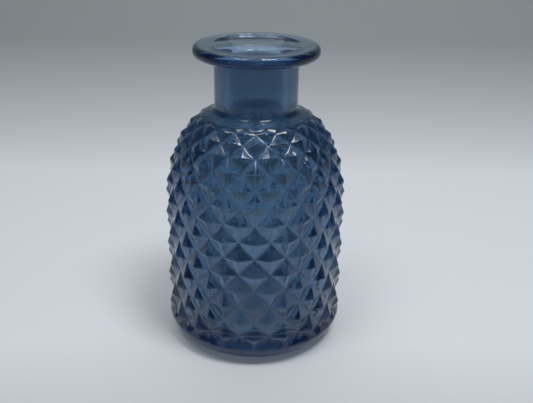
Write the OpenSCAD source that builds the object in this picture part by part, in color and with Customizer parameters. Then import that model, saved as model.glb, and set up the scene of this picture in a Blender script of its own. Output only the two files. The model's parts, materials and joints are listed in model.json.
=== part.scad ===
// Glass bud vase with a flared lip and eighteen columns of moulded diamonds.
// Z is the axis of the vase. The origin is the middle of the flat foot ring.

/* [Overall] */
// Height from the table to the top of the lip
height = 120; // [100:1:160]
// Width of the body over the points of the diamonds
body_d = 72.4; // [64:0.2:90]

/* [Foot and floor] */
// How far the edge of the foot lies inside the points of the diamonds
foot_inset = 9.6; // [8:0.2:12]
// Width of the flat face of the foot ring
foot_w = 4.5; // [2:0.5:6]
// Height of the foot ring
foot_h = 1.5; // [1:0.5:2.5]
// Rise of the hollow under the base
push_up = 2.5; // [1.6:0.1:3.5]
// Height of the inside floor above the table
floor_h = 7; // [5.5:0.5:9]
// Radius inside, where the floor turns up into the wall
floor_r = 10; // [6:0.5:14]

/* [Heel] */
// Radius of the rounded heel, seen from the side
heel_r = 11; // [10.5:0.5:16]
// Height at which the smooth heel ends and the diamonds start
heel_h = 8.5; // [7:0.5:10]

/* [Diamonds] */
// Number of diamond columns round the body
columns = 18; // [12:1:22]
// Height of each diamond's point above the valleys round it
relief = 2.2; // [1:0.1:4]
// Distance from one row of points to the next
row_h = 6.9; // [5.5:0.1:8]
// Height of the lowest row of points above the smooth heel
first_row_up = 4.2; // [3.5:0.1:6]
// Slope of the shoulder, in degrees, past which it carries no more rows
last_row_turn = 72; // [60:1:74]

/* [Wall and shoulder] */
// Thickness of the glass under the valleys of the body
body_wall = 3.5; // [2:0.25:5]
// Height of the domed shoulder, from the straight body to the foot of the neck
shoulder_h = 36.1; // [24:0.1:40]
// Height of the smooth collar at the top of the shoulder
collar_h = 0.9; // [0.6:0.1:1.1]
// How far the bottom of the bore lies above the top of the shoulder
throat_rise = 2.3; // [1:0.1:4]

/* [Neck] */
// Outer diameter of the neck
neck_d = 32.2; // [30:0.2:36]
// Length of the neck, from the top of the shoulder to the underside of the lip
neck_h = 21; // [14:0.1:30]
// Diameter of the straight bore through the neck
bore_d = 21; // [16:0.5:24]
// Radius of the hollow corner where the neck meets the collar
neck_fillet = 2.4; // [1.5:0.1:3]
// Radius inside, where the bore opens into the shoulder
throat_r = 4.5; // [3:0.5:5]

/* [Lip] */
// Outer diameter of the lip
lip_d = 48; // [44:0.5:54]
// Thickness of the lip at its edge
lip_t = 4.6; // [3.5:0.1:5.5]
// Radius of the lip's rounded edges
lip_edge_r = 1.9; // [1:0.1:2.1]
// Diameter of the mouth, where the funnel starts
mouth_d = 36; // [32:0.5:38]
// Depth of the funnel that leads from the mouth to the bore
mouth_depth = 4; // [3:0.25:5.5]
// Height of the lip zone, with the corner under it
lip_zone_h = 6.5; // [6:0.25:8]
// Radius of the hollow corner under the lip
lip_fillet = 1.5; // [1:0.1:2]

/* [Hidden] */
$fn = 96;
glass = [0.29, 0.38, 0.49, 0.75];
body_r = body_d / 2;
foot_r = body_r - foot_inset;
foot_in_r = foot_r - foot_w;
neck_r = neck_d / 2;
bore_r = bore_d / 2;
lip_r = lip_d / 2;
mouth_r = mouth_d / 2;
inner_r = body_r - relief - body_wall;
halves = 2 * columns;
half_turn = 360 / halves;
arc_steps = 12;
// Clearance that carries a cutting shape past the face it cuts
past = 1;
wide = body_r + 10;
lip_zone_z = height - lip_zone_h;
lip_under_z = height - lip_t;
shoulder_top_z = lip_under_z - neck_h;
shoulder_z = shoulder_top_z - shoulder_h;
collar_z = shoulder_top_z - collar_h;
neck_base_z = shoulder_top_z + neck_fillet;
bore_top_z = height - mouth_depth;
throat_z = shoulder_top_z + throat_rise;
// The outside of the shoulder is a quarter ellipse with this reach outwards
shoulder_out = body_r - neck_r;
// The inside is another. The rounded throat's arc ends at one angle, and the ellipse at another
throat_end = 250;
inside_end = 78;
inside_out = inner_r - bore_r;
inside_up = throat_z + throat_r * sin(throat_end) - shoulder_z;
collar_turn = asin((shoulder_h - collar_h) / shoulder_h);
// Where the hollow corner under the neck starts on its arc
fillet_start = 255;
// The rounded heel is an arc, tangent to the body's outer line
heel_x = body_r - heel_r;
heel_z = sqrt(pow(heel_r, 2) - pow(foot_r - heel_x, 2));

// Points along an arc, from one angle to another
function arc(x, z, r, from, to) =
    [for (i = [0:arc_steps])
        let (a = from + (to - from) * i / arc_steps)
        [x + r * cos(a), z + r * sin(a)]];

// A point of the shoulder's outer curve; turn is 0 at the body and 90 at the neck
function shoulder_point(turn) =
    [neck_r + shoulder_out * cos(turn), shoulder_z + shoulder_h * sin(turn)];

// Degrees of turn that carry a point a given distance along that curve
function turn_for(distance, turn) =
    distance * 180 / PI /
    sqrt(pow(shoulder_out * sin(turn), 2) + pow(shoulder_h * cos(turn), 2));

// Turns of the rows on the shoulder, which close up as the radius falls
function row_turns(turn) =
    turn > last_row_turn ? [] :
    concat([turn], row_turns(
        turn + turn_for(row_h * shoulder_point(turn)[0] / body_r, turn)));

// Direction that points out of the shoulder's curve
function outward(turn) =
    let (x = cos(turn) / shoulder_out,
         z = sin(turn) / shoulder_h,
         size = sqrt(x * x + z * z))
    [x / size, z / size];

// Height of the points above the valleys, halved in the last row
function row_relief(row) =
    relief * shoulder_point(turns[row])[0] / body_r *
    (row == len(turns) - 1 ? 0.5 : 1);

// Rows of the lattice from the bottom up: [point, valley], each [radius, height]
first_row_z = heel_h + first_row_up;
body_rows = floor((shoulder_z - first_row_z) / row_h) + 1;
turns = row_turns(turn_for(first_row_z + body_rows * row_h - shoulder_z, 0));
lattice_rows = concat(
    [for (i = [-2:body_rows - 1])
        let (z = first_row_z + i * row_h)
        [[body_r, z], [body_r - relief, z]]],
    [for (row = [0:len(turns) - 1])
        let (p = shoulder_point(turns[row]))
        [p, p - row_relief(row) * outward(turns[row])]],
    [for (turn = [collar_turn, 90])
        [shoulder_point(turn), shoulder_point(turn)]]);

// The whole diamond-cut outside as one solid, longer at both ends than it is used
module lattice() {
    rows = len(lattice_rows);
    points = [for (k = [0:rows - 1], j = [0:halves - 1])
        let (p = lattice_rows[k][(j + k) % 2], a = j * half_turn - 90)
        [p[0] * cos(a), p[0] * sin(a), p[1]]];
    centres = [[0, 0, lattice_rows[0][0][1]], [0, 0, lattice_rows[rows - 1][0][1]]];
    sides = [for (k = [0:rows - 2], j = [0:halves - 1])
        let (a = k * halves + j,
             b = k * halves + (j + 1) % halves,
             c = b + halves,
             d = a + halves,
             rising = (j + k) % 2 == 0)
        each rising ? [[a, d, b], [b, d, c]] : [[a, c, b], [a, d, c]]];
    floor_fan = [for (j = [0:halves - 1]) [len(points), j, (j + 1) % halves]];
    last = (rows - 1) * halves;
    roof_fan = [for (j = [0:halves - 1])
        [len(points) + 1, last + (j + 1) % halves, last + j]];
    polyhedron(concat(points, centres), concat(sides, floor_fan, roof_fan));
}

// Half section of the hollow inside, from the floor up through the mouth
function hollow_line() = concat(
    [[0, floor_h]],
    arc(inner_r - floor_r, floor_h + floor_r, floor_r, -90, 0),
    [for (i = [0:arc_steps])
        let (turn = inside_end * i / arc_steps)
        [bore_r + inside_out * cos(turn), shoulder_z + inside_up * sin(turn)]],
    arc(bore_r + throat_r, throat_z, throat_r, throat_end, 180),
    [[bore_r, bore_top_z], [mouth_r, height], [mouth_r, height + past],
     [0, height + past]]);

module hollow() {
    rotate_extrude() polygon(hollow_line());
}

// A plain ring or disc between two heights, for cutting out one zone
module slab(low, high) {
    translate([0, 0, low]) cylinder(r = wide, h = high - low);
}

// Outside of the rounded heel
module heel_outside() {
    rotate_extrude()
        polygon(concat([[0, 0]],
            arc(heel_x, heel_z, heel_r, asin(-heel_z / heel_r), 0),
            [[0, heel_z]]));
}

// Hollow under the base: a shallow dome
module push_up_dome() {
    dome_r = (pow(foot_in_r, 2) + pow(push_up, 2)) / (2 * push_up);
    translate([0, 0, push_up - dome_r]) sphere(r = dome_r, $fn = 128);
}

// Flat ring that the vase stands on
module foot_ring() color(glass) {
    intersection() {
        difference() {
            heel_outside();
            translate([0, 0, -past]) cylinder(r = foot_in_r, h = foot_h + 2 * past);
        }
        slab(0, foot_h);
    }
}

// Thick floor of the vase with the hollow under it
module base_disc() color(glass) {
    difference() {
        cylinder(r = foot_in_r, h = floor_h);
        push_up_dome();
        hollow();
    }
}

// Smooth rounded heel between the foot ring and the diamonds
module heel_band() color(glass) {
    difference() {
        intersection() {
            heel_outside();
            slab(foot_h, heel_h);
        }
        translate([0, 0, -past]) cylinder(r = foot_in_r, h = heel_h + 2 * past);
        hollow();
    }
}

// Straight part of the body, covered in diamonds
module diamond_body() color(glass) {
    difference() {
        intersection() {
            lattice();
            slab(heel_h, shoulder_z);
        }
        hollow();
    }
}

// Domed shoulder, where the rows of diamonds close up
module diamond_shoulder() color(glass) {
    difference() {
        intersection() {
            lattice();
            slab(shoulder_z, collar_z);
        }
        hollow();
    }
}

// Smooth collar with the hollow corner at the foot of the neck
module shoulder_collar() color(glass) {
    difference() {
        rotate_extrude()
            polygon(concat(
                [[0, collar_z]],
                [for (i = [0:arc_steps])
                    let (high = acos(neck_fillet / shoulder_out))
                    shoulder_point(collar_turn + (high - collar_turn) * i / arc_steps)],
                arc(neck_r + neck_fillet, neck_base_z, neck_fillet, fillet_start, 180),
                [[0, neck_base_z]]));
        hollow();
    }
}

// Straight neck with the bore through it
module neck_tube() color(glass) {
    difference() {
        translate([0, 0, neck_base_z]) cylinder(r = neck_r, h = lip_zone_z - neck_base_z);
        hollow();
    }
}

// Flared lip with rounded edges, and the funnel that leads into the bore
module lip_ring() color(glass) {
    difference() {
        rotate_extrude()
            polygon(concat(
                [[0, lip_zone_z], [neck_r, lip_zone_z]],
                arc(neck_r + lip_fillet, lip_under_z - lip_fillet, lip_fillet, 180, 90),
                arc(lip_r - lip_edge_r, lip_under_z + lip_edge_r, lip_edge_r, -90, 0),
                arc(lip_r - lip_edge_r, height - lip_edge_r, lip_edge_r, 0, 90),
                [[0, height]]));
        hollow();
    }
}

foot_ring();
base_disc();
heel_band();
diamond_body();
diamond_shoulder();
shoulder_collar();
neck_tube();
lip_ring();
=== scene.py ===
"""Glass bud vase with moulded diamonds, on a pale table under soft panels and two lamps."""
from collections import namedtuple
import json
import math

import bpy
from mathutils import Matrix, Vector


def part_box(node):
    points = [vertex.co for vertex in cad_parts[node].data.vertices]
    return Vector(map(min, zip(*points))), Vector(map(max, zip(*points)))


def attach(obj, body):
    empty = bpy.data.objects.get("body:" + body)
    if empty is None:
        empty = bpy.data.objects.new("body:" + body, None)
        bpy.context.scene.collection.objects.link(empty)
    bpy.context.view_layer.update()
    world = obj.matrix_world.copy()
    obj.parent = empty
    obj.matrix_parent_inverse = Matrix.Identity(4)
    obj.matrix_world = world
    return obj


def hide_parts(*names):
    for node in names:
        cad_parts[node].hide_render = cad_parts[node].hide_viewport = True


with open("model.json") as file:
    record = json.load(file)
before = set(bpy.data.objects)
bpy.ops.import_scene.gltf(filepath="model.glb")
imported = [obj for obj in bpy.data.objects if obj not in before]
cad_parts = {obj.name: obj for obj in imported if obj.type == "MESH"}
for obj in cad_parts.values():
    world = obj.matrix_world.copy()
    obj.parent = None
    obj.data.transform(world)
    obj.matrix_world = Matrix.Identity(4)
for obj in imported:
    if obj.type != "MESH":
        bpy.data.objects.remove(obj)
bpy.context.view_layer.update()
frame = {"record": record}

bl_info = {
    "name": "Diamond bud vase",
    "version": (1, 0, 0),
    "blender": (4, 5, 0),
    "location": "3D View > Sidebar > Vase",
    "description": "Moulds a glass bud vase covered in diamonds and sets its table",
    "category": "Object",
}

MM = 0.001
GLASS_ZONES = (
    "foot_ring", "base_disc", "heel_band", "diamond_body",
    "diamond_shoulder", "shoulder_collar", "neck_tube", "lip_ring",
)


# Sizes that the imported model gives, in metres

def top_of(node):
    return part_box(node)[1].z


def radius_of(node):
    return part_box(node)[1].x


BORE = next(m for m in frame["record"]["mounts"] if m["name"] == "neck_bore")
BORE_RADIUS = BORE["dims"]["r_mm"] * MM
BORE_END_Z = BORE["pos_m"][2] - 0.5 * BORE["dims"]["length_mm"] * MM
BODY_RADIUS = radius_of("diamond_body")
NECK_RADIUS = radius_of("neck_tube")
LIP_RADIUS = radius_of("lip_ring")
FOOT_INSIDE = radius_of("base_disc")
FLOOR_Z = top_of("base_disc")
HEEL_TOP_Z = top_of("heel_band")
SHOULDER_Z = top_of("diamond_body")
COLLAR_Z = top_of("diamond_shoulder")
NECK_BASE_Z = top_of("shoulder_collar")
TOP_Z = top_of("lip_ring")


# Properties

def length(label, about, default):
    return bpy.props.FloatProperty(
        name=label, description=about, default=default, min=0.0,
        subtype="DISTANCE", unit="LENGTH", precision=5)


def share(label, about, default):
    return bpy.props.FloatProperty(
        name=label, description=about, default=default, min=0.0, max=1.0,
        subtype="FACTOR")


def amount(label, about, default):
    return bpy.props.FloatProperty(name=label, description=about, default=default, min=0.0)


def colour(label, about, default):
    return bpy.props.FloatVectorProperty(
        name=label, description=about, default=default, size=3,
        min=0.0, max=1.0, subtype="COLOR")


def turn(label, about, degrees):
    return bpy.props.FloatProperty(
        name=label, description=about, default=math.radians(degrees),
        subtype="ANGLE", unit="ROTATION")


class VaseGlassSettings(bpy.types.PropertyGroup):
    """Sizes and colour of the vase."""

    columns: bpy.props.IntProperty(
        name="Columns", description="Columns of diamonds round the body",
        default=18, min=8, max=32)
    steps: bpy.props.IntProperty(
        name="Steps", description="Mesh steps across half a diamond",
        default=8, min=4, max=16)
    relief: length("Relief", "Height of the points above the grooves", 2.2 * MM)
    row_height: length("Row height", "From one row of points to the next", 6.9 * MM)
    first_row: length(
        "First row", "Lowest row of points above the smooth heel", 4.2 * MM)
    ridge_rounding: share("Ridge rounding", "Softening of ridges and points", 0.08)
    groove_rounding: share("Groove rounding", "Softening of the grooves", 0.025)
    crowding: share("Crowding", "How closely mesh steps crowd at the ridges", 0.8)
    heel_blend: length(
        "Heel blend", "Softening where the diamonds run into the heel", 0.3 * MM)
    heel_radius: length("Heel radius", "Radius of the rounded heel", 11.0 * MM)
    foot_inset: length(
        "Foot inset", "From the points of the diamonds in to the foot", 9.6 * MM)
    push_up: length("Push-up", "Rise of the hollow under the base", 2.5 * MM)
    neck_fillet: length("Neck fillet", "Hollow corner under the neck", 2.4 * MM)
    lip_thickness: length("Lip thickness", "Thickness of the lip's edge", 4.6 * MM)
    lip_edge: length("Lip edge", "Radius of the lip's rounded edges", 1.9 * MM)
    lip_fillet: length("Lip fillet", "Hollow corner under the lip", 1.5 * MM)
    mouth_radius: length("Mouth radius", "Where the funnel starts", 18.0 * MM)
    mouth_depth: length("Mouth depth", "From the top to the bore", 4.0 * MM)
    brim_edge: length("Brim edge", "Radius where the top turns into the funnel", 2.0 * MM)
    bore_edge: length("Bore edge", "Radius where the funnel turns into the bore", 1.8 * MM)
    funnel_slope: turn("Funnel slope", "Slope of the funnel", 28.0)
    throat_rounding: length(
        "Throat rounding", "Where the bore opens into the body", 4.5 * MM)
    wall: length("Wall", "Glass behind the grooves of the body", 3.5 * MM)
    floor_corner: length(
        "Floor corner", "Radius where the floor meets the wall", 10.0 * MM)
    lip_stain: share("Lip stain", "Share of the stain on top of the lip", 0.35)
    inside_wave: length("Inside wave", "Unevenness of the inside", 0.25 * MM)
    outside_wave: length("Outside wave", "Unevenness of the outside", 0.03 * MM)
    seam_height: length("Seam height", "Height of the two mould seams", 0.12 * MM)
    seam_width: length("Seam width", "Width of the mould seams", 0.5 * MM)
    seam_angle: turn("Seam angle", "Turn of the seams from the front", 4.8)
    stain: colour(
        "Stain", "Colour that the stained outside lets through, once in and once out",
        (0.106, 0.192, 0.300))
    body_tint: colour("Body tint", "Colour of the glass itself", (0.48, 0.69, 0.87))
    body_density: amount(
        "Body density", "Strength of the body tint, per metre of glass", 65.0)


class VaseStageSettings(bpy.types.PropertyGroup):
    """Table, backdrop, lamps and camera."""

    floor_tint: colour("Floor", "Colour of the table", (0.88, 0.93, 1.0))
    # The paper's colour far out is painted shade. The three settings below place a painted pool
    # of light in a strip behind the vase and say how far out the painted shade takes over.
    painted_shade_tint: colour("Backdrop", "Colour of the paper far out", (0.34, 0.38, 0.40))
    painted_light_back: length("Strip back", "From the vase back to the lightest strip", 0.078)
    painted_light_half: length("Strip half", "Half the width of the lightest strip", 0.098)
    painted_shade_reach: length("Strip reach", "From mid-strip to where the paper is darkest", 0.28)
    table_reach: length("Table reach", "How far the table goes in front and aside", 6.0)
    backdrop_top: length("Backdrop top", "Height of the backdrop", 1.6)
    backdrop_start: length("Backdrop start", "Where the sweep leaves the table", 0.18)
    sweep_radius: length("Sweep radius", "Radius of the backdrop's sweep", 0.35)
    panel_power: amount("Panel power", "Power of the soft panel overhead, in watts", 1.9)
    fill_power: amount(
        "Fill power", "Power of the shadowless panel overhead, in watts", 1.75)
    panel_size: length("Panel size", "Width of both square panels", 0.85)
    panel_back: length("Panel back", "From the vase back to the panels' middle", 0.1)
    panel_height: length("Panel height", "Height of the panels over the table", 0.95)
    left_lamp_power: amount(
        "Left lamp power", "Power of the left small lamp, in watts", 1.0)
    right_lamp_power: amount(
        "Right lamp power", "Power of the right small lamp, in watts", 3.0)
    lamp_size: length("Lamp size", "Width of each square lamp", 0.26)
    lamp_height: length("Lamp height", "Height of the lamps over the table", 0.9)
    lamp_spread: length("Lamp spread", "From the middle out to each lamp", 0.24)
    lamp_front: length("Lamp front", "From the vase forward to the lamps", 0.25)
    room_light: amount("Room light", "Brightness of the room around", 0.085)


# Section of the vase

PLAIN_ROW = -0.5        # row position of a station with no diamonds
NO_LIMIT = 1.0          # a radius that holds nothing back
FILLET_START = 258      # angles on the fillet under the neck, the throat and
THROAT_END = 250        # the inside dome where one curve takes over from
INSIDE_END = 78         # the next, in degrees

# Mesh steps along each stretch of the section
STEPS = {
    "push_up": 10, "foot": 4, "heel": 10, "collar": 3, "neck_fillet": 8, "neck": 10,
    "lip_fillet": 5, "lip_under": 5, "lip_edge": 8, "lip_top": 5, "brim": 4, "funnel": 5,
    "bell": 8, "bore": 8, "throat": 6, "dome": 13, "wall": 16, "floor_corner": 10, "floor": 6,
}

# One point of the section: radius, height, row position, groove depth, largest radius,
# and the shares of inside and of stain, from 0 to 1
Station = namedtuple("Station", "r z row depth limit inside stain")


def arc(centre, radius, start, end, steps):
    """Points along an arc in the section plane. Angles are in degrees."""
    angles = [math.radians(start + (end - start) * i / steps) for i in range(steps + 1)]
    return [(centre[0] + radius * math.cos(a), centre[1] + radius * math.sin(a))
            for a in angles]


def line(start, end, steps):
    """Points between two ends, without the ends."""
    return [(start[0] + (end[0] - start[0]) * i / steps,
             start[1] + (end[1] - start[1]) * i / steps) for i in range(1, steps)]


def crowded(position, crowding):
    """Moves a position towards the nearest whole number, which is where ridges run."""
    whole = math.floor(position)
    part = position - whole
    return whole + part - crowding * math.sin(2 * math.pi * part) / (2 * math.pi)


class Shoulder:
    """Quarter ellipse from the straight body to the foot of the neck."""

    def __init__(self, base_z, inner, outer, height):
        self.base_z = base_z
        self.inner = inner
        self.out = outer - inner
        self.up = height

    def at(self, turn):
        return (self.inner + self.out * math.cos(turn),
                self.base_z + self.up * math.sin(turn))

    def speed(self, turn):
        return math.hypot(self.out * math.sin(turn), self.up * math.cos(turn))


class DiamondRows:
    """Where each row of diamonds lies on the outside, from the heel to the collar."""

    LAST_TURN = math.radians(72)
    FADE_ROWS = 2           # rows at the top over which the grooves run out

    def __init__(self, settings, shoulder, collar_turn):
        self.row = settings.row_height
        self.first_z = HEEL_TOP_Z + settings.first_row
        self.shoulder = shoulder
        self.relief = settings.relief
        self.body_rows = math.floor((SHOULDER_Z - self.first_z) / self.row) + 1
        rise = self.first_z + self.body_rows * self.row - SHOULDER_Z
        self.turns = [rise / shoulder.speed(0)]
        while self.turns[-1] <= self.LAST_TURN:
            turn = self.turns[-1]
            step = self.row * shoulder.at(turn)[0] / BODY_RADIUS
            self.turns.append(turn + step / shoulder.speed(turn))
        self.turns[-1] = collar_turn
        self.end = self.body_rows + len(self.turns) - 1
        self.start = (HEEL_TOP_Z - self.first_z) / self.row

    def place(self, row):
        """Point of the outer line at a row position, and the depth of the grooves there."""
        z = self.first_z + row * self.row
        if row <= self.body_rows:
            if z <= SHOULDER_Z:
                return (BODY_RADIUS, z), self.relief
            turn = (z - SHOULDER_Z) / self.shoulder.speed(0)
        else:
            whole = min(int(row) - self.body_rows, len(self.turns) - 2)
            part = row - self.body_rows - whole
            turn = self.turns[whole] + part * (self.turns[whole + 1] - self.turns[whole])
        point = self.shoulder.at(turn)
        fade = min(1.0, (self.end - row) / self.FADE_ROWS)
        return point, self.relief * point[0] / BODY_RADIUS * fade


class Section:
    """Half section of the whole vase, from under the base round to the inside floor."""

    def __init__(self, settings):
        self.s = settings
        self.stations = []
        self.foot = BODY_RADIUS - settings.foot_inset
        self.heel_x = BODY_RADIUS - settings.heel_radius
        self.heel_z = math.sqrt(settings.heel_radius ** 2 - (self.foot - self.heel_x) ** 2)
        shoulder_top = NECK_BASE_Z - settings.neck_fillet
        self.shoulder = Shoulder(
            SHOULDER_Z, NECK_RADIUS, BODY_RADIUS, shoulder_top - SHOULDER_Z)
        self.collar_turn = math.asin((COLLAR_Z - SHOULDER_Z) / self.shoulder.up)
        self.edge_x = LIP_RADIUS - settings.lip_edge
        for stretch in (self.base, self.diamonds, self.neck, self.lip, self.mouth, self.inside):
            stretch()

    def add(self, points, inside=0.0, stain=0.0):
        """Stations with no diamonds."""
        self.stations.extend(
            Station(r, z, PLAIN_ROW, 0.0, NO_LIMIT, inside, stain) for r, z in points)

    def heel_limit(self, z):
        """Largest radius that the round heel leaves at a height."""
        if z >= self.heel_z:
            return BODY_RADIUS
        return self.heel_x + math.sqrt(self.s.heel_radius ** 2 - (self.heel_z - z) ** 2)

    def base(self):
        """Hollow under the base, foot ring and heel."""
        s = self.s
        dome = (FOOT_INSIDE ** 2 + s.push_up ** 2) / (2 * s.push_up)
        dome_angle = math.degrees(math.asin(FOOT_INSIDE / dome))
        self.add(arc((0, s.push_up - dome), dome, 90, 90 - dome_angle, STEPS["push_up"]))
        self.add(line((FOOT_INSIDE, 0), (self.foot, 0), STEPS["foot"]), stain=0.5)
        start = math.degrees(math.asin(-self.heel_z / s.heel_radius))
        end = math.degrees(math.asin((HEEL_TOP_Z - self.heel_z) / s.heel_radius))
        self.add(arc((self.heel_x, self.heel_z), s.heel_radius, start, end, STEPS["heel"]),
                 stain=1.0)

    def diamonds(self):
        """The rows of diamonds, from the heel to the collar."""
        s = self.s
        rows = DiamondRows(s, self.shoulder, self.collar_turn)
        first = math.floor(rows.start) * s.steps
        for i in range(first, rows.end * s.steps + 1):
            row = crowded(i / s.steps, s.crowding)
            if row <= rows.start:
                continue
            (r, z), depth = rows.place(row)
            self.stations.append(Station(r, z, row, depth, self.heel_limit(z), 0.0, 1.0))

    def neck(self):
        """Collar, and the neck up to the lip."""
        s = self.s
        fillet_turn = math.acos(s.neck_fillet / self.shoulder.out)
        last_turn = 0.5 * (self.collar_turn + fillet_turn)
        steps = STEPS["collar"]
        self.add([self.shoulder.at(self.collar_turn + (last_turn - self.collar_turn) * i / steps)
                  for i in range(1, steps + 1)], stain=1.0)
        self.add(arc((NECK_RADIUS + s.neck_fillet, NECK_BASE_Z), s.neck_fillet,
                     FILLET_START, 180, STEPS["neck_fillet"]), stain=1.0)
        corner_z = TOP_Z - s.lip_thickness - s.lip_fillet
        self.add(line((NECK_RADIUS, NECK_BASE_Z), (NECK_RADIUS, corner_z), STEPS["neck"]),
                 stain=1.0)
        self.add(arc((NECK_RADIUS + s.lip_fillet, corner_z), s.lip_fillet,
                     180, 90, STEPS["lip_fillet"]), stain=1.0)

    def lip(self):
        """Underside, edge and top of the lip."""
        s = self.s
        under = TOP_Z - s.lip_thickness
        self.add(line((NECK_RADIUS + s.lip_fillet, under), (self.edge_x, under),
                      STEPS["lip_under"]), stain=1.0)
        self.add(arc((self.edge_x, under + s.lip_edge), s.lip_edge, -90, 0,
                     STEPS["lip_edge"]), stain=1.0)
        self.add(arc((self.edge_x, TOP_Z - s.lip_edge), s.lip_edge, 0, 90,
                     STEPS["lip_edge"]), stain=s.lip_stain)
        self.add(line((self.edge_x, TOP_Z), (s.mouth_radius, TOP_Z), STEPS["lip_top"]),
                 stain=s.lip_stain)

    def mouth(self):
        """Funnel and bore."""
        s = self.s
        slope = 90 + math.degrees(s.funnel_slope)
        bore_top = TOP_Z - s.mouth_depth
        brim = arc((s.mouth_radius, TOP_Z - s.brim_edge), s.brim_edge, 90, slope,
                   STEPS["brim"])
        bell = arc((BORE_RADIUS + s.bore_edge, bore_top - s.bore_edge), s.bore_edge,
                   slope, 180, STEPS["bell"])
        self.add(brim, stain=s.lip_stain)
        self.add(line(brim[-1], bell[0], STEPS["funnel"]), stain=0.5 * s.lip_stain)
        self.add(bell)
        self.add(line(bell[-1], (BORE_RADIUS, BORE_END_Z), STEPS["bore"]))

    def inside(self):
        """From the throat down the wall to the middle of the floor."""
        s = self.s
        wall_x = BODY_RADIUS - s.relief - s.wall
        throat = arc((BORE_RADIUS + s.throat_rounding, BORE_END_Z), s.throat_rounding,
                     180, THROAT_END, STEPS["throat"])
        dome = Shoulder(SHOULDER_Z, BORE_RADIUS, wall_x, throat[-1][1] - SHOULDER_Z)
        steps = STEPS["dome"]
        self.add(throat, 0.5)
        self.add([dome.at(math.radians(INSIDE_END * (1 - i / steps)))
                  for i in range(steps + 1)], 1.0)
        corner_x = wall_x - s.floor_corner
        corner_z = FLOOR_Z + s.floor_corner
        self.add(line((wall_x, SHOULDER_Z), (wall_x, corner_z), STEPS["wall"]), 1.0)
        self.add(arc((corner_x, corner_z), s.floor_corner, 0, -90, STEPS["floor_corner"]), 1.0)
        self.add(line((corner_x, FLOOR_Z), (0, FLOOR_Z), STEPS["floor"]), 1.0)
        self.add([(0.0, FLOOR_Z)], 1.0)


def rail_mesh(settings):
    """The section as a row of points, with what the glass cutter needs at each."""
    stations = Section(settings).stations
    last = len(stations) - 1
    mesh = bpy.data.meshes.new("section_rail")
    mesh.from_pydata([(station.r, 0, station.z) for station in stations],
                     [(i, i + 1) for i in range(last)], [])
    for name in ("row", "depth", "limit", "inside", "stain"):
        layer = mesh.attributes.new(name, "FLOAT", "POINT")
        layer.data.foreach_set("value", [getattr(station, name) for station in stations])
    outward = mesh.attributes.new("outward", "FLOAT_VECTOR", "POINT")
    for i in range(last + 1):
        before, after = stations[max(i - 1, 0)], stations[min(i + 1, last)]
        way = Vector((after.r - before.r, after.z - before.z)).normalized()
        if i in (0, last):
            way = Vector((1, 0)) if i == 0 else Vector((-1, 0))
        outward.data[i].vector = (way.y, 0, -way.x)
    return mesh


# Node helpers

def pin(sockets, name):
    """The live socket of that name or number."""
    if isinstance(name, int):
        return sockets[name]
    return next(s for s in sockets if s.name == name and s.enabled)


class Wiring:
    """Adds nodes to a tree and joins them, so that a rule reads like a formula."""

    def __init__(self, tree):
        self.tree = tree

    def add(self, kind, inputs=None, **settings):
        node = self.tree.nodes.new(kind)
        for name, value in settings.items():
            setattr(node, name, value)
        for name, value in (inputs or {}).items():
            self.feed(pin(node.inputs, name), value)
        return node

    def feed(self, socket, value):
        if isinstance(value, bpy.types.NodeSocket):
            self.tree.links.new(value, socket)
        elif isinstance(value, bpy.types.Node):
            self.tree.links.new(value.outputs[0], socket)
        else:
            socket.default_value = value

    def maths(self, operation, *values):
        return self.add("ShaderNodeMath", dict(enumerate(values)), operation=operation).outputs[0]

    def whole(self, operation, *values):
        return self.add(
            "FunctionNodeIntegerMath", dict(enumerate(values)), operation=operation).outputs[0]

    def parts(self, vector):
        """The X, Y and Z of a vector."""
        return self.add("ShaderNodeSeparateXYZ", {0: vector}).outputs


def new_group(name, kind, inputs, outputs):
    """A node group with named sockets, each given as (name, socket type)."""
    tree = bpy.data.node_groups.new(name, kind)
    for way, sockets in (("INPUT", inputs), ("OUTPUT", outputs)):
        for label, socket_type in sockets:
            tree.interface.new_socket(label, in_out=way, socket_type=socket_type)
    return tree


# The glass cutter: turns the section into the cut vase

WAVE_SCALE = 85.0               # slow waves to a metre
WAVE_DETAIL = 1.0
WAVE_ROUGHNESS = 0.4
MERGE_DISTANCE = 0.002 * MM     # closes the seam of the grid, the poles and nothing else


class Rail:
    """Reads the section rail inside the tree, station by station."""

    def __init__(self, w, section):
        self.w = w
        self.section = section

    def value(self, name, station, kind="FLOAT"):
        return self.sample(stored_value(self.w, name, kind), station, kind)

    def position(self, station):
        return self.sample(self.w.add("GeometryNodeInputPosition"), station, "FLOAT_VECTOR")

    def sample(self, value, station, kind):
        return self.w.add("GeometryNodeSampleIndex",
                          {"Geometry": self.section, "Value": value, "Index": station},
                          data_type=kind).outputs[0]


def stored_value(w, name, kind="FLOAT"):
    """Reads a named attribute."""
    node = w.add("GeometryNodeInputNamedAttribute", {"Name": name}, data_type=kind)
    return pin(node.outputs, "Attribute")


def store(w, mesh, name, value, domain):
    """Stores a number on the mesh as a named attribute."""
    return w.add("GeometryNodeStoreNamedAttribute",
                 {"Geometry": mesh, "Name": name, "Value": value},
                 data_type="FLOAT", domain=domain).outputs[0]


def spin(w, point, angle):
    """Turns a point of the section about the upright axis."""
    return w.add("ShaderNodeVectorRotate",
                 {"Vector": point, "Axis": (0, 0, 1), "Angle": angle},
                 rotation_type="AXIS_ANGLE").outputs[0]


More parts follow.
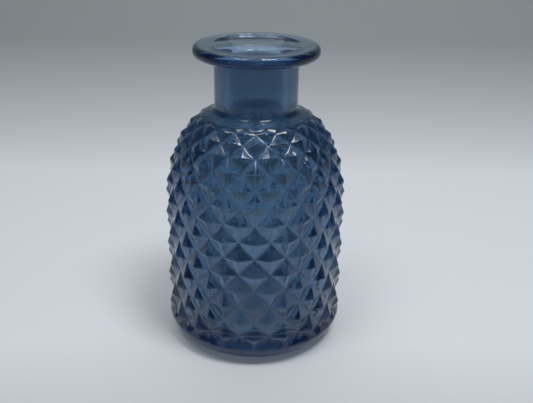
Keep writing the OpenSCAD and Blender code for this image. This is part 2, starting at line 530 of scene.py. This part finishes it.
def diamond_height(w, across, up, ridge, groove):
    """Height of the pattern, 1 at a point and 0 in a groove.

    Two families of straight grooves cross on the body, one climbing to the left and
    one to the right. The lower of the two is what stays.
    """
    def groove_family(position):
        nearest = w.maths("ROUND", position)
        off = w.maths("ABSOLUTE", w.maths("SUBTRACT", position, nearest))
        bare = w.maths("SUBTRACT", 1.0, w.maths("MULTIPLY", off, 2.0))
        return w.maths("SMOOTH_MAX", bare, groove, w.maths("MULTIPLY", groove, 2.0))

    left = groove_family(w.maths("MULTIPLY", w.maths("ADD", across, up), 0.5))
    right = groove_family(w.maths("MULTIPLY", w.maths("SUBTRACT", across, up), 0.5))
    return w.maths("SMOOTH_MIN", left, right, ridge)


def split_cells(w, mesh, rail, index, stations, steps):
    """Splits each cell of the grid that carries diamonds along the groove through it."""
    cells_up = w.whole("SUBTRACT", stations, 1)
    station = w.whole("MODULO", index, cells_up)
    column = w.whole("DIVIDE_FLOOR", w.whole("DIVIDE_FLOOR", index, cells_up), steps)
    rows_below = rail.value("row", station)
    rows_above = rail.value("row", w.whole("ADD", station, 1))
    row = w.maths("FLOOR", w.maths("MULTIPLY", w.maths("ADD", rows_below, rows_above), 0.5))
    odd = w.maths("MODULO", w.maths("ADD", w.maths("ADD", column, row), 2.0), 2.0)
    cut = w.maths("GREATER_THAN", rail.value("depth", station), 0.0)
    mesh = store(w, mesh, "odd_cell", odd, "FACE")
    mesh = store(w, mesh, "cut_cell", cut, "FACE")
    for wanted, method in ((0.0, "FIXED_ALTERNATE"), (1.0, "FIXED")):
        same = w.maths("COMPARE", stored_value(w, "odd_cell"), wanted, 0.1)
        chosen = w.maths("MULTIPLY", same, stored_value(w, "cut_cell"))
        mesh = w.add("GeometryNodeTriangulate", {"Mesh": mesh, "Selection": chosen},
                     quad_method=method).outputs[0]
    return mesh


def column_position(w, column_step, steps, crowding):
    """Position across the diamonds, with the mesh steps crowded towards the ridges."""
    even_spaced = w.maths("DIVIDE", column_step, steps)
    swing = w.maths("SINE", w.maths("MULTIPLY", w.maths("FRACT", even_spaced), 2 * math.pi))
    pull = w.maths("MULTIPLY", swing, w.maths("DIVIDE", crowding, 2 * math.pi))
    return w.maths("SUBTRACT", even_spaced, pull)


def seam_rise(w, given, point, outward, angle):
    """Rise of the mould seams: thin lines half a turn apart, only on outward walls."""
    from_seam = w.maths("SUBTRACT", w.maths("ADD", angle, 0.5 * math.pi), given["Seam Angle"])
    off = w.maths("MULTIPLY", w.maths("SINE", from_seam), w.parts(point)[0])
    spread = w.maths("DIVIDE", off, given["Seam Width"])
    bump = w.maths("EXPONENT", w.maths("MULTIPLY", w.maths("MULTIPLY", spread, spread), -1.0))
    faces_out = w.maths("MAXIMUM", w.parts(outward)[0], 0.0)
    return w.maths("MULTIPLY", w.maths("MULTIPLY", bump, given["Seam Height"]), faces_out)


def wave_shift(w, given, point, inside):
    """Slow waves in the surface, stronger inside, where no mould touched the glass."""
    noise = w.add("ShaderNodeTexNoise",
                  {"Vector": point, "Scale": WAVE_SCALE, "Detail": WAVE_DETAIL,
                   "Roughness": WAVE_ROUGHNESS}, noise_dimensions="3D").outputs[0]
    swell = w.maths("MULTIPLY", w.maths("SUBTRACT", noise, 0.5), 2.0)
    outside = w.maths("SUBTRACT", 1.0, inside)
    strength = w.maths("ADD", w.maths("MULTIPLY", given["Inside Wave"], inside),
                       w.maths("MULTIPLY", given["Outside Wave"], outside))
    return w.maths("MULTIPLY", swell, strength)


def cutter_tree():
    """Geometry Nodes: spins the section rail, cuts the diamonds and raises the seams."""
    sizes = ("Crowding", "Ridge Rounding", "Groove Rounding", "Inside Wave", "Outside Wave",
             "Seam Angle", "Seam Height", "Seam Width", "Heel Blend", "Top")
    tree = new_group(
        "Diamond glass cutter", "GeometryNodeTree",
        [("Section", "NodeSocketGeometry"),
         ("Columns", "NodeSocketInt"), ("Steps", "NodeSocketInt"),
         *((name, "NodeSocketFloat") for name in sizes),
         ("Glass", "NodeSocketMaterial")],
        [("Geometry", "NodeSocketGeometry")])
    w = Wiring(tree)
    given = w.add("NodeGroupInput").outputs
    rail = Rail(w, given["Section"])

    # A flat grid, one station of the section to each row of points
    stations = w.add("GeometryNodeAttributeDomainSize",
                     {"Geometry": given["Section"]}).outputs["Point Count"]
    around = w.whole("MULTIPLY", w.whole("MULTIPLY", given["Columns"], 2), given["Steps"])
    grid = w.add("GeometryNodeMeshGrid",
                 {"Vertices X": w.whole("ADD", around, 1), "Vertices Y": stations})
    index = w.add("GeometryNodeInputIndex").outputs[0]
    mesh = split_cells(w, grid.outputs["Mesh"], rail, index, stations, given["Steps"])

    # How far each point moves out from the section
    station = w.whole("MODULO", index, stations)
    column_step = w.whole("DIVIDE_FLOOR", index, stations)
    across = column_position(w, column_step, given["Steps"], given["Crowding"])
    turned = w.maths("DIVIDE", w.maths("MULTIPLY", across, math.pi), given["Columns"])
    angle = w.maths("SUBTRACT", turned, 0.5 * math.pi)
    point = rail.position(station)
    outward = rail.value("outward", station, "FLOAT_VECTOR")
    height = diamond_height(w, across, rail.value("row", station),
                            given["Ridge Rounding"], given["Groove Rounding"])
    sink = w.maths("MULTIPLY", rail.value("depth", station), w.maths("SUBTRACT", height, 1.0))
    seam = seam_rise(w, given, point, outward, angle)
    wave = wave_shift(w, given, spin(w, point, angle), rail.value("inside", station))
    shift = w.maths("ADD", w.maths("ADD", sink, seam), wave)
    push = w.add("ShaderNodeVectorMath", {0: outward, "Scale": shift}, operation="SCALE")
    moved = w.parts(w.add("ShaderNodeVectorMath", {0: point, 1: push}, operation="ADD"))

    # The heel and the top hold it back, and then it is spun into place
    radius = w.maths("SMOOTH_MIN", moved[0], rail.value("limit", station),
                     given["Heel Blend"])
    level = w.maths("MINIMUM", w.maths("MAXIMUM", moved[2], 0.0), given["Top"])
    placed = spin(w, w.add("ShaderNodeCombineXYZ", {0: radius, 2: level}), angle)
    mesh = store(w, mesh, "stain", rail.value("stain", station), "POINT")
    mesh = w.add("GeometryNodeSetPosition", {"Geometry": mesh, "Position": placed})
    mesh = w.add("GeometryNodeMergeByDistance",
                 {"Geometry": mesh, "Distance": MERGE_DISTANCE})
    for name in ("odd_cell", "cut_cell"):
        mesh = w.add("GeometryNodeRemoveAttribute", {"Geometry": mesh, "Name": name})
    mesh = w.add("GeometryNodeSetShadeSmooth", {"Geometry": mesh})
    mesh = w.add("GeometryNodeRealizeInstances", {"Geometry": mesh})
    mesh = w.add("GeometryNodeSetMaterial", {"Geometry": mesh, "Material": given["Glass"]})
    w.add("NodeGroupOutput", {0: mesh})
    return tree


def made_by_nodes(name, base_mesh, tree, values):
    """Runs a Geometry Nodes tree on a mesh and returns a plain object with the result."""
    worker = bpy.data.objects.new(name + "_blank", base_mesh)
    bpy.context.scene.collection.objects.link(worker)
    modifier = worker.modifiers.new("cutter", "NODES")
    modifier.node_group = tree
    for item in tree.interface.items_tree:
        if item.item_type == "SOCKET" and item.in_out == "INPUT" and item.name in values:
            modifier[item.identifier] = values[item.name]
    bpy.context.view_layer.update()
    evaluated = worker.evaluated_get(bpy.context.evaluated_depsgraph_get())
    mesh = bpy.data.meshes.new_from_object(evaluated)
    if not mesh.polygons:
        raise RuntimeError("The glass cutter made no faces for " + name)
    mesh.name = name
    worker.modifiers.remove(modifier)
    bpy.data.objects.remove(worker)
    bpy.data.meshes.remove(base_mesh)
    piece = bpy.data.objects.new(name, mesh)
    bpy.context.scene.collection.objects.link(piece)
    return piece


# Materials

RIPPLE = "Surface ripple"
CALM_BELOW, CALM_ABOVE = 0.4, 0.65          # slow noise over which the calm mask rises
SLOW_DETAIL, FINE_DETAIL = 2.0, 3.0

GLASS_RIPPLE = {"Scale": 180.0, "Detail Scale": 1200.0, "Detail Share": 0.3}
GLASS_BUMP = {"Strength": 0.3, "Distance": 0.4 * MM}
GLASS_IOR = 1.52
GLASS_SMOOTH, GLASS_DULLING = 0.01, 0.02    # least roughness, and what calm places add
UNSTAINED = (0.96, 0.98, 1.0, 1.0)

PAPER_RIPPLE = {"Scale": 6.0, "Detail Scale": 400.0, "Detail Share": 0.5}
PAPER_BUMP = {"Strength": 0.02, "Distance": 1.0 * MM}
PAPER_ROUGHNESS = 0.55
PAPER_GLOSS = 0.3


def ripple_group():
    """Shader group: fine unevenness of a surface, with a mask of its calm places."""
    tree = new_group(
        RIPPLE, "ShaderNodeTree",
        [(name, "NodeSocketFloat") for name in ("Scale", "Detail Scale", "Detail Share")],
        [(name, "NodeSocketFloat") for name in ("Height", "Mask")])
    w = Wiring(tree)
    given = w.add("NodeGroupInput").outputs
    place = w.add("ShaderNodeTexCoord").outputs["Object"]
    slow = w.add("ShaderNodeTexNoise", {"Vector": place, "Scale": given["Scale"],
                                        "Detail": SLOW_DETAIL}).outputs[0]
    fine = w.add("ShaderNodeTexNoise", {"Vector": place, "Scale": given["Detail Scale"],
                                        "Detail": FINE_DETAIL}).outputs[0]
    height = w.maths("ADD", slow, w.maths("MULTIPLY", fine, given["Detail Share"]))
    mask = w.add("ShaderNodeMapRange",
                 {0: slow, 1: CALM_BELOW, 2: CALM_ABOVE, 3: 0.0, 4: 1.0}, clamp=True)
    w.add("NodeGroupOutput", {0: height, 1: mask})
    return tree


def add_ripple(w, values):
    """Puts the ripple group, built once, in a material with that material's own values."""
    group = bpy.data.node_groups.get(RIPPLE) or ripple_group()
    return w.add("ShaderNodeGroup", node_tree=group, inputs=values).outputs


def new_material(name):
    material = bpy.data.materials.new(name)
    material.use_nodes = True
    material.node_tree.nodes.clear()
    return material, Wiring(material.node_tree)


def blue_glass(settings):
    """Faintly blue glass with a see-through denim-blue stain over its outside."""
    material, w = new_material("stained_blue_glass")
    surface = add_ripple(w, GLASS_RIPPLE)
    roughness = w.maths("MULTIPLY_ADD", surface["Mask"], GLASS_DULLING, GLASS_SMOOTH)
    bump = w.add("ShaderNodeBump", {"Height": surface["Height"], **GLASS_BUMP})
    stained = w.add("ShaderNodeAttribute", attribute_name="stain").outputs["Fac"]
    tint = w.add("ShaderNodeMix",
                 {"Factor": stained, 6: UNSTAINED, 7: (*settings.stain, 1.0)},
                 data_type="RGBA").outputs[2]
    glass = w.add("ShaderNodeBsdfPrincipled",
                  {"Base Color": tint, "Roughness": roughness, "IOR": GLASS_IOR,
                   "Transmission Weight": 1.0, "Normal": bump})
    inside = w.add("ShaderNodeVolumeAbsorption", {"Color": (*settings.body_tint, 1.0),
                                                  "Density": settings.body_density})
    w.add("ShaderNodeOutputMaterial", {"Surface": glass, "Volume": inside})
    return material


def table_paper(stage):
    """Pale paper with painted light: painted lightest in a strip behind the vase, where the
    lamps' light pools, and painted grey with shade further out.
    """
    material, w = new_material("pale_table_painted_light")
    surface = add_ripple(w, PAPER_RIPPLE)
    depth = w.parts(w.add("ShaderNodeTexCoord").outputs["Object"])["Y"]
    # Painted light and shade: the colour ramps from the pale paper in the lit strip to painted
    # shade away from it.
    distance_from_painted_light = w.maths("ABSOLUTE", w.maths("SUBTRACT", depth, stage.painted_light_back))
    painted_shading = w.add("ShaderNodeMapRange", {0: distance_from_painted_light, 1: stage.painted_light_half,
                                           2: stage.painted_shade_reach}, clamp=True)
    ramp = w.add("ShaderNodeValToRGB", {"Fac": painted_shading})
    ramp.color_ramp.elements[0].color = (*stage.floor_tint, 1)
    ramp.color_ramp.elements[1].color = (*stage.painted_shade_tint, 1)
    bump = w.add("ShaderNodeBump", {"Height": surface["Height"], **PAPER_BUMP})
    paper = w.add("ShaderNodeBsdfPrincipled",
                  {"Base Color": ramp.outputs["Color"], "Roughness": PAPER_ROUGHNESS,
                   "Specular IOR Level": PAPER_GLOSS, "Normal": bump})
    w.add("ShaderNodeOutputMaterial", {"Surface": paper})
    return material


# Operators

class VASE_OT_mould_glass(bpy.types.Operator):
    """Mould the vase as one closed piece of glass, with its diamonds"""

    bl_idname = "vase.mould_glass"
    bl_label = "Mould the glass"

    def execute(self, context):
        settings = context.scene.vase_glass
        values = {
            "Columns": settings.columns, "Steps": settings.steps,
            "Crowding": settings.crowding, "Ridge Rounding": settings.ridge_rounding,
            "Groove Rounding": settings.groove_rounding,
            "Inside Wave": settings.inside_wave, "Outside Wave": settings.outside_wave,
            "Seam Angle": settings.seam_angle, "Seam Height": settings.seam_height,
            "Seam Width": settings.seam_width, "Heel Blend": settings.heel_blend,
            "Top": TOP_Z, "Glass": blue_glass(settings),
        }
        vase = made_by_nodes("vase_glass", rail_mesh(settings), cutter_tree(), values)
        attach(vase, "root")
        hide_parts(*GLASS_ZONES)
        return {"FINISHED"}


class VASE_OT_set_stage(bpy.types.Operator):
    """Lay the pale table, hang the lamps and place the camera"""

    bl_idname = "vase.set_stage"
    bl_label = "Set the table"

    # Air under the foot, so that glass and table aren't one face
    TABLE_GAP = 0.1 * MM
    SWEEP_STEPS = 30

    LAMP_COLOUR = (1.0, 0.99, 0.97)
    ROOM_COLOUR = (0.9, 0.95, 1.0, 1.0)
    BOUNCES = {"max_bounces": 24, "transmission_bounces": 24,
               "glossy_bounces": 8, "diffuse_bounces": 4}

    # The camera: sensor and lens in millimetres, places in metres, angles in degrees
    SENSOR_WIDTH = 36.0
    LENS = 48.63
    NEAREST = 0.01
    CAMERA_PLACE = Vector((0.0008, -0.2685, 0.1752))
    CAMERA_DOWN = 23.97
    CAMERA_RIGHT = 0.80
    CAMERA_ROLL = 0.88

    def execute(self, context):
        stage = context.scene.vase_stage
        self.lay_table(stage)
        self.hang_lamps(stage)
        self.place_camera()
        self.light_room(context.scene, stage)
        return {"FINISHED"}

    def lay_table(self, stage):
        half_width, front, top = stage.table_reach, -stage.table_reach, stage.backdrop_top
        start, radius = stage.backdrop_start, stage.sweep_radius
        outline = [(front, 0.0), (0.0, 0.0)]
        turns = [math.radians(90 * i / self.SWEEP_STEPS) for i in range(self.SWEEP_STEPS + 1)]
        outline += [(start + radius * math.sin(a), radius * (1 - math.cos(a))) for a in turns]
        outline.append((start + radius, top))
        points = [(x, y, z - self.TABLE_GAP) for y, z in outline
                  for x in (-half_width, half_width)]
        faces = [(2 * i, 2 * i + 1, 2 * i + 3, 2 * i + 2) for i in range(len(outline) - 1)]
        mesh = bpy.data.meshes.new("table")
        mesh.from_pydata(points, [], faces)
        mesh.shade_smooth()
        mesh.materials.append(table_paper(stage))
        table = bpy.data.objects.new("table", mesh)
        bpy.context.scene.collection.objects.link(table)

    def hang_lamps(self, stage):
        above = Vector((0, stage.panel_back, stage.panel_height))
        self.hang("soft_panel", stage.panel_size, stage.panel_power, above)
        self.hang("fill_panel", stage.panel_size, stage.fill_power, above, shadow=False)
        for side, power in ((-1, stage.left_lamp_power), (1, stage.right_lamp_power)):
            self.hang("small_lamp", stage.lamp_size, power,
                      Vector((side * stage.lamp_spread, -stage.lamp_front, stage.lamp_height)))

    def hang(self, name, size, power, place, shadow=True):
        data = bpy.data.lights.new(name, "AREA")
        data.shape = "SQUARE"
        data.size = size
        data.energy = power
        data.use_shadow = shadow
        data.color = self.LAMP_COLOUR
        lamp = bpy.data.objects.new(name, data)
        aim = (Vector((0, 0, 0.5 * TOP_Z)) - place).to_track_quat("-Z", "Y")
        lamp.matrix_world = Matrix.Translation(place) @ aim.to_matrix().to_4x4()
        bpy.context.scene.collection.objects.link(lamp)

    def place_camera(self):
        data = bpy.data.cameras.new("camera")
        data.sensor_width = self.SENSOR_WIDTH
        data.lens = self.LENS
        data.clip_start = self.NEAREST
        camera = bpy.data.objects.new("camera", data)
        down, right = math.radians(self.CAMERA_DOWN), math.radians(self.CAMERA_RIGHT)
        roll = Matrix.Rotation(math.radians(self.CAMERA_ROLL), 3, "Z")
        ahead = Vector((math.sin(right) * math.cos(down),
                        math.cos(right) * math.cos(down), -math.sin(down)))
        aim = ahead.to_track_quat("-Z", "Y").to_matrix() @ roll
        camera.matrix_world = Matrix.Translation(self.CAMERA_PLACE) @ aim.to_4x4()
        bpy.context.scene.collection.objects.link(camera)
        bpy.context.scene.camera = camera

    def light_room(self, scene, stage):
        world = bpy.data.worlds.new("room")
        world.use_nodes = True
        background = world.node_tree.nodes["Background"]
        background.inputs["Color"].default_value = self.ROOM_COLOUR
        background.inputs["Strength"].default_value = stage.room_light
        scene.world = world
        scene.view_settings.view_transform = "Standard"
        scene.cycles.use_denoising = True
        for name, count in self.BOUNCES.items():
            setattr(scene.cycles, name, count)


class VASE_PT_sidebar(bpy.types.Panel):
    """Buttons and sizes of the vase."""

    bl_idname = "VASE_PT_sidebar"
    bl_label = "Diamond bud vase"
    bl_space_type = "VIEW_3D"
    bl_region_type = "UI"
    bl_category = "Vase"

    def draw(self, context):
        for settings, operator in (
            (context.scene.vase_glass, VASE_OT_mould_glass),
            (context.scene.vase_stage, VASE_OT_set_stage),
        ):
            box = self.layout.box()
            box.operator(operator.bl_idname)
            for name in type(settings).__annotations__:
                box.prop(settings, name)


CLASSES = (VaseGlassSettings, VaseStageSettings,
           VASE_OT_mould_glass, VASE_OT_set_stage, VASE_PT_sidebar)


def register():
    for cls in CLASSES:
        bpy.utils.register_class(cls)
    bpy.types.Scene.vase_glass = bpy.props.PointerProperty(type=VaseGlassSettings)
    bpy.types.Scene.vase_stage = bpy.props.PointerProperty(type=VaseStageSettings)


def unregister():
    del bpy.types.Scene.vase_stage
    del bpy.types.Scene.vase_glass
    for cls in reversed(CLASSES):
        bpy.utils.unregister_class(cls)


def main():
    register()
    bpy.ops.vase.set_stage()
    bpy.ops.vase.mould_glass()


if __name__ == "__main__":
    main()
